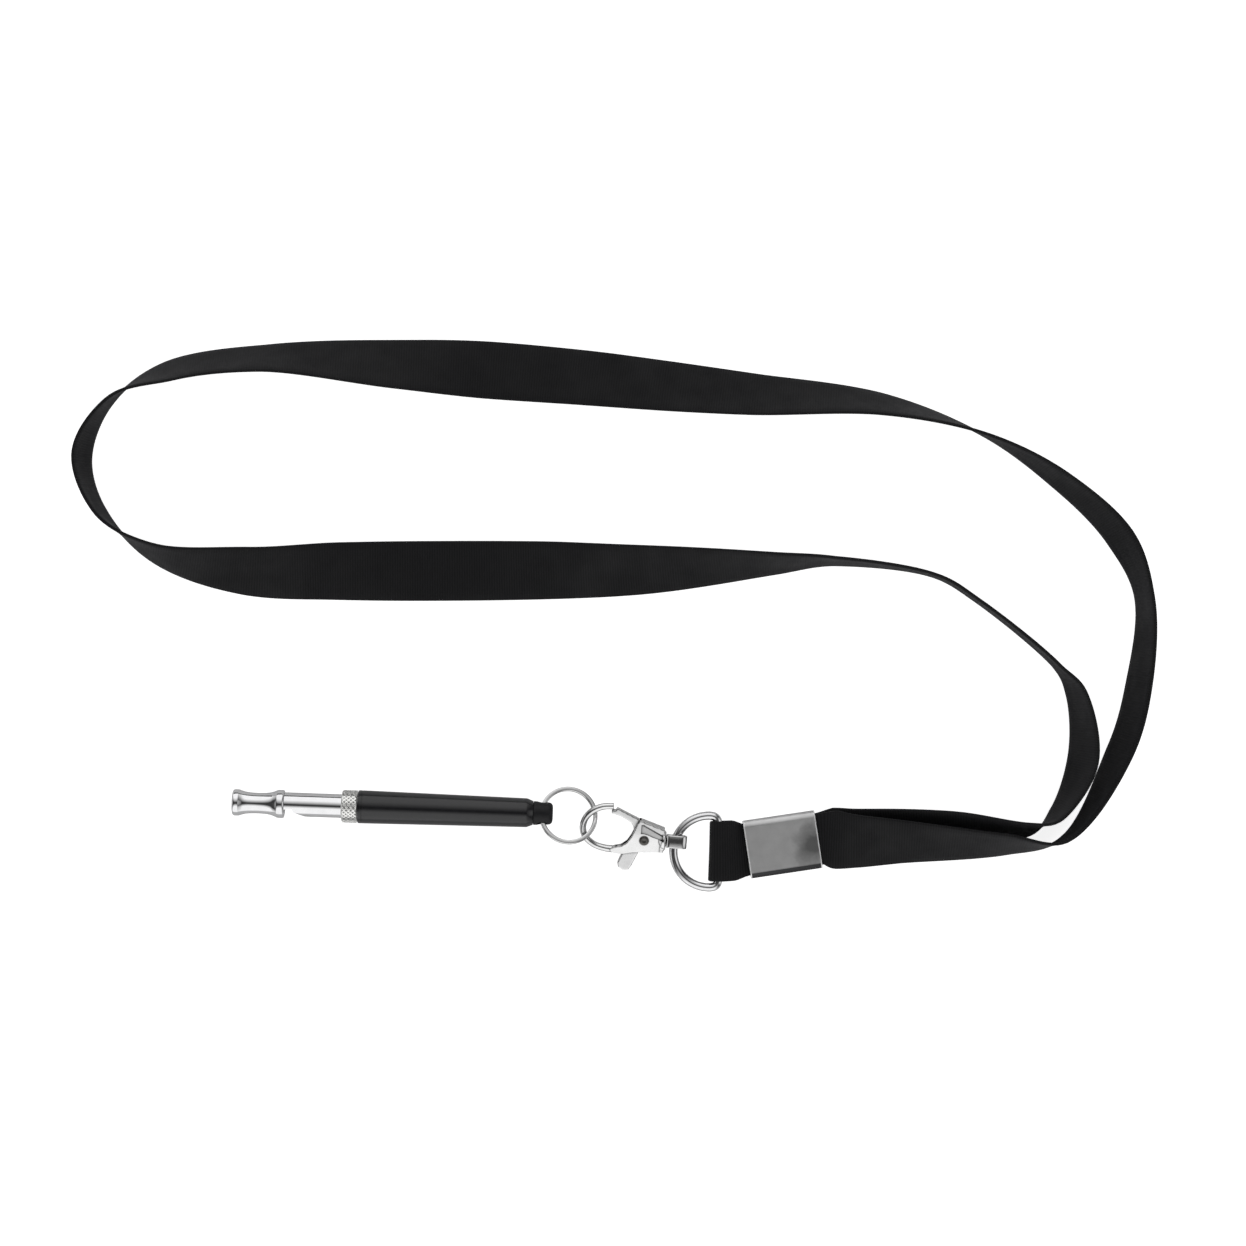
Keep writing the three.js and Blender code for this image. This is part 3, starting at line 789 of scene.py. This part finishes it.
def crimp():
    """A band of sheet metal, open at both ends, with eased rims."""
    half, wall = CRIMP["length"] / 2, CRIMP["wall"]
    rings = []
    for along, inset in ((-half, 0), (half, 0), (half, wall), (-half, wall)):
        rings.append([(along, y, z) for y, z in crimp_outline(inset)])
    matrix = Matrix.Translation(Vector((CRIMP["x"], CRIMP["y"], 0)) * MM)
    matrix = matrix @ Matrix.Rotation(CRIMP["turn"], 4, "Z") @ Matrix.Scale(MM, 4)
    thing = solid("crimp_band", tube(rings, closed=True), matrix)
    eased(thing, 0.12 * MM, 3, 50)
    finish_piece(thing, satin_nickel(), "lanyard", ["crimp"], sharp=60)


def d_ring_line():
    """The wire's middle line: a half-round bow, two tight corners and a straight bar."""
    bar, bow, radius, corner = (D_RING[key] for key in ("bar", "bow", "radius", "corner"))
    points = []
    for k in range(72):
        angle = TURN / 4 + TURN / 2 * k / 72
        points.append((bow + radius * math.cos(angle), radius * math.sin(angle)))
    points.extend(rounded_corner((bow, -radius), (bar, -radius), (bar, -radius + corner)))
    for k in range(20):
        points.append((bar, (radius - corner) * (2 * k / 20 - 1)))
    points.extend(rounded_corner((bar, radius - corner), (bar, radius), (bow, radius)))
    return [Vector((x, y, 0)) for x, y in points]


def rounded_corner(first, middle, last, steps=10):
    points = []
    for k in range(steps):
        t = k / steps
        points.append(tuple(
            a * (1 - t) ** 2 + b * 2 * t * (1 - t) + c * t * t for a, b, c in zip(first, middle, last)))
    return points


def flat_wire(line, radius, sides, closed):
    """Rings of points round a line that lies in its own xy plane."""
    radii = radius if isinstance(radius, list) else [radius] * len(line)
    rings = []
    for point, forward, size in zip(line, directions(line, closed), radii):
        side = Vector((forward.y, -forward.x, 0)).normalized()
        rings.append([point + side * x + Vector((0, 0, y)) for x, y in circle(size, sides)])
    return rings


def d_ring():
    rings = flat_wire(d_ring_line(), D_RING["wire"], 28, True)
    thing = solid("d_ring_wire", tube(rings, closed=True), at_mm(0, D_RING["y"], D_RING["z"]))
    finish_piece(thing, ring_chrome(), "d_ring", ["d_ring"], sharp=60)


# ---------- trigger snap ----------

HOOK = {"root": 1.0, "radius": 0.85, "stretch": 0.3}
HOOK_LINE = [
    (-6.2, -3.15), (-7.6, -3.18), (-9.6, -3.1), (-12.4, -2.35), (-14.7, -0.5), (-15.45, 1.8),
    (-14.9, 4.2), (-13.2, 6.2), (-10.8, 7.4), (-8.1, 7.75),
]
CHEEK_OUTLINE = [
    (-8.2, -2.95), (-7.4, -2.45), (-5.6, -2.0), (-4.2, -0.9), (-3.2, 0.8), (-2.5, 2.6), (-1.9, 4.3),
    (-1.3, 5.0), (5.0, 3.05), (5.0, -2.75), (-2.6, -3.35), (-5.2, -4.0), (-7.4, -3.95), (-8.2, -3.45),
]
SLOT_OUTLINE = [
    (-7.0, -5.0), (-7.0, 3.0), (-4.0, 6.5), (-1.1, 6.5), (-1.0, 4.0), (4.2, 2.35), (4.2, -1.9),
    (1.6, -2.2), (1.6, -5.0),
]
RECESS_OUTLINE = [
    (-0.95, 3.9), (-0.4, 4.0), (4.7, 1.35), (4.7, 0.2), (1.9, 1.0), (0.9, 1.4), (-0.2, 1.65), (-0.95, 1.6),
]
GROOVE_OUTLINE = [(-0.5, 4.1), (4.75, 1.6), (4.75, 1.1), (-0.3, 3.5)]
GROOVE_DEPTH = 0.6
RECESS = {"depth": 0.26, "slope": 0.05}
CROWN = {"curve": 0.012, "from_y": 2.5, "from_x": 4.0, "tip": -8.0, "tip_length": 4.0, "tip_share": 0.45}
LEVER_OUTLINE = [
    (-7.3, 7.55), (-7.55, 6.95), (-8.7, 6.6), (-8.6, 5.95), (-6.4, 5.45), (-3.6, 4.1), (-2.9, 3.1),
    (-2.6, 1.2), (-2.7, -0.6), (-4.2, -2.4), (-5.2, -3.9), (-6.2, -6.4), (-5.9, -7.6), (-4.6, -8.2),
    (-3.3, -8.1), (-2.6, -6.9), (-1.1, -3.3), (0.6, -1.6), (2.0, -1.2), (3.2, -0.6), (3.3, 0.4),
    (1.7, 0.9), (0.4, 1.6), (-0.9, 3.2), (-1.4, 5.0),
]


def rod(radius, low, high, sides=48):
    return lathe([(low, 0), (low, radius), (high, radius), (high, 0)], sides)


def hook():
    """A round wire that thins a little over the first stretch from its root."""
    line = spline([(x, y, 0) for x, y in HOOK_LINE], 10)
    stretch = (len(line) - 1) * HOOK["stretch"]
    thinner = HOOK["root"] - HOOK["radius"]
    radii = [HOOK["root"] - thinner * min(i / stretch, 1) for i in range(len(line))]
    return tube(flat_wire(line, radii, 24, False))


def collar_profile():
    start, end, radius = COLLAR["start"], COLLAR["end"], COLLAR["radius"]
    return [
        (start - 0.8, 0), (start - 0.8, radius - 0.7), (start, radius), (start + 0.5, radius + 0.02),
        (end - 0.3, radius), (end, radius - 0.3), (end, 0),
    ]


def crown(thing, place):
    """Thins both cheeks towards their near edge and the hook, so that their outsides are domed."""
    back = place.inverted()
    for vertex in thing.data.vertices:
        x, y, z = back @ vertex.co
        beyond = abs(z) - SLOT
        if beyond > 0 and y < CROWN["from_y"] and x < CROWN["from_x"]:
            kept = 1 - CROWN["curve"] * (y - CROWN["from_y"]) ** 2 / (CHEEK - SLOT)
            from_tip = min(max((x - CROWN["tip"]) / CROWN["tip_length"], 0), 1)
            kept *= CROWN["tip_share"] + (1 - CROWN["tip_share"]) * from_tip
            vertex.co = place @ Vector((x, y, math.copysign(SLOT + beyond * kept, z)))


def recess(place, side):
    """A cutter for one cheek's shallow recess, whose floor is deeper towards the top edge."""
    points, faces = plate(RECESS_OUTLINE, -1.0, 1.0)
    shaped = []
    for x, y, z in points:
        floor = CHEEK - RECESS["depth"] - RECESS["slope"] * y
        shaped.append((x, y, side * (CHEEK + 1.0 if z > 0 else floor)))
    return solid("recess", (shaped, faces), place)


def groove(place, side):
    """A cutter for the deep groove along the recess's top edge."""
    floor, open_end = side * (CHEEK - GROOVE_DEPTH), side * (CHEEK + 1.0)
    return solid("groove", plate(GROOVE_OUTLINE, min(floor, open_end), max(floor, open_end)), place)


def snap_body(place, material):
    body = solid("snap_body", plate(CHEEK_OUTLINE, -CHEEK, CHEEK), place)
    joined(body, solid("collar", lathe(collar_profile(), 48), place), solid("hook", hook(), place))
    cast(body, 0.11 * MM, 12)
    crown(body, place)
    carved(
        body,
        solid("slot", plate(SLOT_OUTLINE, -SLOT, SLOT), place),
        recess(place, 1),
        recess(place, -1),
        groove(place, 1),
        groove(place, -1),
        solid("rivet_hole", spun(rod(RIVET + 0.05, -3, 3), "z"), place),
        solid("bore", rod(COLLAR["bore"] + 0.02, COLLAR["start"] - 2, COLLAR["end"] + 1), place),
    )
    finish_piece(body, material, "clasp", ["clasp_body"], sharp=35)


def gate_lever(place, material):
    lever = solid("gate", plate(LEVER_OUTLINE, -LEVER_HALF, LEVER_HALF), place)
    cast(lever, 0.1 * MM, 26)
    carved(lever, solid("lever_hole", spun(rod(RIVET + 0.1, -3, 3), "z"), place))
    finish_piece(lever, material, "lever", ["gate_lever"], sharp=35)


def lever_rivet(place, material):
    head = CHEEK + 0.05
    profile = [
        (-head - 0.3, 0), (-head - 0.29, 0.45), (-head - 0.22, 0.85), (-head - 0.1, 1.14), (-head, 1.2),
        (-head, RIVET - 0.03), (head, RIVET - 0.03), (head, 1.2), (head + 0.1, 1.14),
        (head + 0.22, 0.85), (head + 0.2, 0.45), (head + 0.14, 0.3), (head + 0.12, 0),
    ]
    rivet = solid("snap_rivet", spun(lathe(profile, 40), "z"), place)
    finish_piece(rivet, material, "clasp", ["lever_rivet"], sharp=50)


def lever_spring(place, material):
    steps = 32 * SPRING["turns"]
    line = []
    for i in range(steps + 1):
        t = i / steps
        angle = TURN * SPRING["turns"] * t
        height = SPRING["low"] + (SPRING["high"] - SPRING["low"]) * t
        line.append(Vector((
            SPRING["x"] + SPRING["radius"] * math.cos(angle), height, SPRING["radius"] * math.sin(angle))))
    rings = []
    for point, forward in zip(line, directions(line)):
        side = forward.cross(Vector((0, 1, 0))).normalized()
        up = side.cross(forward)
        rings.append([point + side * x + up * y for x, y in circle(SPRING["wire"], 10)])
    spring = solid("snap_spring", tube(rings), place)
    finish_piece(spring, material, "clasp", ["lever_spring"])
    up = place.to_3x3() @ Vector((0, 1, 0))
    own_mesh(spring)


def eye_line():
    """The strip's middle line in local x and z: a flat base at the swivel and a round far end."""
    start = EYE["start"] + EYE["base"] / 2
    end = EYE["end"] - EYE["wall"] / 2
    half = EYE["half"] - EYE["wall"] / 2
    tight, corner = EYE["tight"], EYE["corner"]
    run = end - start - tight - corner
    points = []
    points.extend(rounded_corner((start + tight, -half), (start, -half), (start, tight - half), 4))
    points.extend((start, tight - half + 2 * (half - tight) * k / 8) for k in range(8))
    points.extend(rounded_corner((start, half - tight), (start, half), (start + tight, half), 4))
    points.extend((start + tight + run * k / 6, half) for k in range(6))
    points.extend(rounded_corner((end - corner, half), (end, half), (end, half - corner)))
    points.extend((end, half - corner - (2 * half - 2 * corner) * k / 6) for k in range(6))
    points.extend(rounded_corner((end, corner - half), (end, -half), (end - corner, -half)))
    points.extend((end - corner - run * k / 6, -half) for k in range(6))
    return [Vector((x, 0, z)) for x, z in points]


def swivel_eye(place, material):
    line = eye_line()
    rings = []
    for point, forward in zip(line, directions(line, True)):
        out = Vector((forward.z, 0, -forward.x)).normalized()
        base = point.x < EYE["start"] + EYE["base"]
        section = rounded_section(EYE["width"], EYE["base"] if base else EYE["wall"] - 0.05, 0.24)
        rings.append([point + Vector((0, y, 0)) + out * x for y, x in section])
    eye = solid("eye_strip", tube(rings, closed=True), place)
    carved(eye, solid("eye_hole", rod(COLLAR["bore"] + 0.01, 5, 7.2), place))
    finish_piece(eye, material, "eye", ["swivel_eye"], sharp=40)


def swivel_rivet(place, material):
    shank = COLLAR["bore"] - 0.06
    inside = EYE["start"] + EYE["base"] + 0.03
    profile = [
        (3.5, 0), (3.5, 0.6), (3.6, 0.82), (3.75, 0.93), (4.15, 0.95), (4.15, shank), (inside, shank),
        (inside, 0.98), (inside + 0.1, 0.95), (inside + 0.24, 0.8), (inside + 0.32, 0.5),
        (inside + 0.34, 0),
    ]
    rivet = solid("swivel_pin", lathe(profile, 40), place)
    finish_piece(rivet, material, "eye", ["swivel_rivet"], sharp=50)


def trigger_snap():
    rolled = snap_axes()
    level = swivel_axes()
    plating = cast_chrome()
    steel = rivet_steel()
    snap_body(rolled, plating)
    gate_lever(rolled, plating)
    lever_rivet(rolled, steel)
    lever_spring(rolled, steel)
    swivel_eye(level, plating)
    swivel_rivet(level, steel)


# ---------- split ring ----------


def split_ring():
    """Two full turns of flat wire with round edges, closed up on each other."""
    steps = 300
    rings = []
    for i in range(steps + 1):
        share = i / steps - 0.5
        angle = TURN * RING_TURNS * share
        lift = RING["pitch"] * RING_TURNS * share
        out = Vector((math.cos(angle), math.sin(angle), 0))
        taper = min(1.0, 0.55 + 25 * (0.5 - abs(share)))
        width, thick, edge = (RING[key] * taper for key in ("wide", "thick", "edge"))
        section = rounded_section(width, thick, edge, 6)
        rings.append([out * (RING["radius"] + x) + Vector((0, 0, lift + y)) for x, y in section])
    normal = Vector((-RING_SLOPE[0], -RING_SLOPE[1], 1)).normalized()
    turn = Vector((0, 0, 1)).rotation_difference(normal).to_matrix().to_4x4()
    middle = Vector((RING["x"], RING["y"], RING["z"])) * MM
    thing = solid("ring_wire", tube(rings), Matrix.Translation(middle) @ turn @ Matrix.Scale(MM, 4))
    finish_piece(thing, wire_steel(), "ring", ["split_ring"], sharp=60)


# ---------- whistle ----------


def smooth_profile(points, steps=6):
    return [(point.x, point.y) for point in spline([(x, r, 0) for x, r in points], steps)]


def mouthpiece(place, material):
    bore = STEM["bore"]
    waist = smooth_profile([
        (1.5, 3.3), (1.85, 3.17), (2.6, 2.93), (3.6, 2.72), (5.0, 2.6), (6.4, 2.57), (8.4, 2.67),
        (9.8, 2.92), (10.6, 3.22), (11.0, 3.4),
    ])
    profile = [
        (0.35, bore), (0.0, bore + 0.4), (0.0, 2.85), (0.06, 3.02), (0.2, 3.18), (0.4, 3.27), (0.7, 3.3),
        *waist, (11.1, 3.46), (11.3, 3.5), (12.4, 3.5), (12.62, 3.46), (12.75, 3.38),
        (MOUTHPIECE_END, 3.25), (MOUTHPIECE_END, bore),
    ]
    thing = solid("mouthpiece_shell", lathe(profile, 96), place)
    finish_piece(thing, material, "stem", ["mouthpiece"], sharp=45)


def windway_plug(place, material):
    profile = [(2.6, 0), (2.6, 1.8), (2.75, 1.95), (13.2, 1.95), (13.2, 0)]
    plug = solid("windway_core", lathe(profile, 64), place)
    slit = plate([(1.9, -1.4), (1.9, -3.4), (13.9, -3.4), (13.9, -1.4)], -2.5, 2.5)
    carved(plug, solid("slit", slit, place))
    finish_piece(plug, material, "stem", ["windway_plug"], sharp=35)


def stem_profile():
    """The stem's outside from its mouth end to its inner end, with a plain cylinder for the thread."""
    start, end, radius, bore = (STEM[key] for key in ("start", "end", "radius", "bore"))
    return [
        (start, bore), (start, radius - 0.12), (start + 0.12, radius), (THREAD["start"], radius),
        (THREAD["start"] + 0.1, radius - THREAD["depth"]), (end, radius - THREAD["depth"]), (end, bore),
    ]


def stem_thread():
    """A helical ridge on the stem's inner half."""
    radius, depth, pitch = STEM["radius"], THREAD["depth"], THREAD["pitch"]
    turns = (STEM["end"] - THREAD["start"] - 0.8) / pitch
    steps = int(turns * 40)
    rings = []
    for i in range(steps + 1):
        angle = TURN * turns * i / steps
        along = THREAD["start"] + 0.3 + pitch * turns * i / steps
        out = Vector((0, math.cos(angle), math.sin(angle)))
        flank = pitch * 0.42
        section = ((-flank, -depth - 0.05), (-0.05, 0), (0.05, 0), (flank, -depth - 0.05))
        rings.append([out * (radius + r) + Vector((along + x, 0, 0)) for x, r in section])
    return tube(rings)


def stem(place, material):
    thing = solid("stem_shell", lathe(stem_profile(), 96), place)
    notch = [
        (WINDOW["start"], 3.4), (WINDOW["start"], WINDOW["floor"]), (15.0, WINDOW["floor"]), (15.2, 1.9),
        (WINDOW["end"], 2.98), (WINDOW["end"], 3.4),
    ]
    window = plate([(x, -r) for x, r in notch], -3.4, 3.4)
    carved(thing, solid("window", window, place))
    joined(thing, solid("thread", stem_thread(), place))
    finish_piece(thing, material, "stem", ["stem_tube"], sharp=35)


def lock_nut(place, material):
    """A ring whose outside is cut by two crossing sets of helical grooves."""
    start, end, radius, bore = (NUT[key] for key in ("start", "end", "radius", "bore"))
    sides = KNURL["around"] * 6
    rows = KNURL["along"] * 6
    plain = KNURL["plain"]
    rings = [[(start, bore)] * sides, [(start, radius - 0.45)] * sides]
    rings.append([(start + plain, radius - KNURL["depth"])] * sides)
    for row in range(rows + 1):
        part = row / rows
        along = start + plain + (end - start - 2 * plain) * part
        rings.append([(along, radius - knurl_depth(part, k / sides)) for k in range(sides)])
    rings.append([(end - plain, radius - KNURL["depth"])] * sides)
    rings.append([(end, radius - 0.45)] * sides)
    rings.append([(end, bore)] * sides)
    turned_rings = [
        [(along, r * math.cos(TURN * k / sides), r * math.sin(TURN * k / sides))
         for k, (along, r) in enumerate(ring)]
        for ring in rings
    ]
    thing = solid("nut_knurled", tube(turned_rings, closed=True), place)
    finish_piece(thing, material, "nut", ["lock_nut"], sharp=25)


def knurl_depth(part, around):
    """How far below the diamonds' tips the surface is."""
    slant = KNURL["along"] * part
    spin = KNURL["around"] * around
    first = abs((spin + slant) % 1 - 0.5)
    second = abs((spin - slant) % 1 - 0.5)
    return KNURL["depth"] * KNURL["steep"] * max(first, second)


def barrel(place, material):
    start, end, mouth, tail = (BARREL[key] for key in ("start", "end", "mouth", "tail"))
    thread, bore, step = (BARREL[key] for key in ("thread", "bore", "step"))
    profile = [
        (start, thread), (start, mouth - 0.2), (start + 0.08, mouth - 0.06), (start + 0.2, mouth),
        (start + 0.9, mouth), (start + 0.95, mouth - 0.07), (start + 1.1, mouth - 0.07),
        (start + 1.15, mouth - 0.01), (end - 1.7, tail), (end - 1.45, tail - 0.04),
        (end - 0.3, tail - 0.5), (end, tail - 0.65), (end, bore), (step, bore), (step, thread),
    ]
    thing = solid("barrel_shell", lathe(profile, 96), place)
    finish_piece(thing, material, "whistle", ["barrel"], sharp=30)


def tail_plug(place, material):
    start, shoulder, end = TAIL["start"], TAIL["shoulder"], TAIL["end"]
    profile = [
        (start, 0), (start, 2.55), (shoulder, 2.55), (shoulder, 2.85), (shoulder + 0.12, 2.97),
        (end - 1.2, 2.78), (end - 0.7, 2.7), (end - 0.35, 2.5), (end - 0.1, 2.15), (end, 1.7), (end, 0),
    ]
    plug = solid("tail_cap", lathe(profile, 80), place)
    across = place @ Matrix.Translation((TAIL["hole"], 0, 0))
    across = across @ Matrix.Rotation(math.atan(RING_SLOPE[1]), 4, "X")
    hole = solid("cross_hole", spun(rod(TAIL["hole_radius"], -4.5, 4.5), "y"), across)
    rod_hole = solid("rod_hole", rod(0.95, start - 1, start + 5), place)
    carved(plug, hole, rod_hole)
    eased(plug, 0.12 * MM, 3, 35)
    finish_piece(plug, material, "whistle", ["tail_plug"], sharp=40)


def inner_works():
    """The tuning plunger is hidden in the barrel, so its CAD solids stay and get real finishes."""
    finishes = {"plunger_rod": brass(), "plunger_head": brass(), "plunger_seal": seal_rubber()}
    for node, material in finishes.items():
        thing = frame["nodes"][node]
        thing.data.materials.clear()
        thing.data.materials.append(material)


def whistle():
    place = whistle_axes()
    plating = chrome()
    mouthpiece(place, plating)
    windway_plug(place, white_plastic())
    stem(place, plating)
    lock_nut(place, nut_nickel())
    barrel(place, anodised("barrel_black", (0.15, 0.25), 0.5))
    tail_plug(place, anodised("tail_black", (0.4, 0.5), 0.22))
    inner_works()


# ---------- the whole scene ----------


camera()
strap()
crimp()
d_ring()
trigger_snap()
split_ring()
whistle()
floor()
lighting()
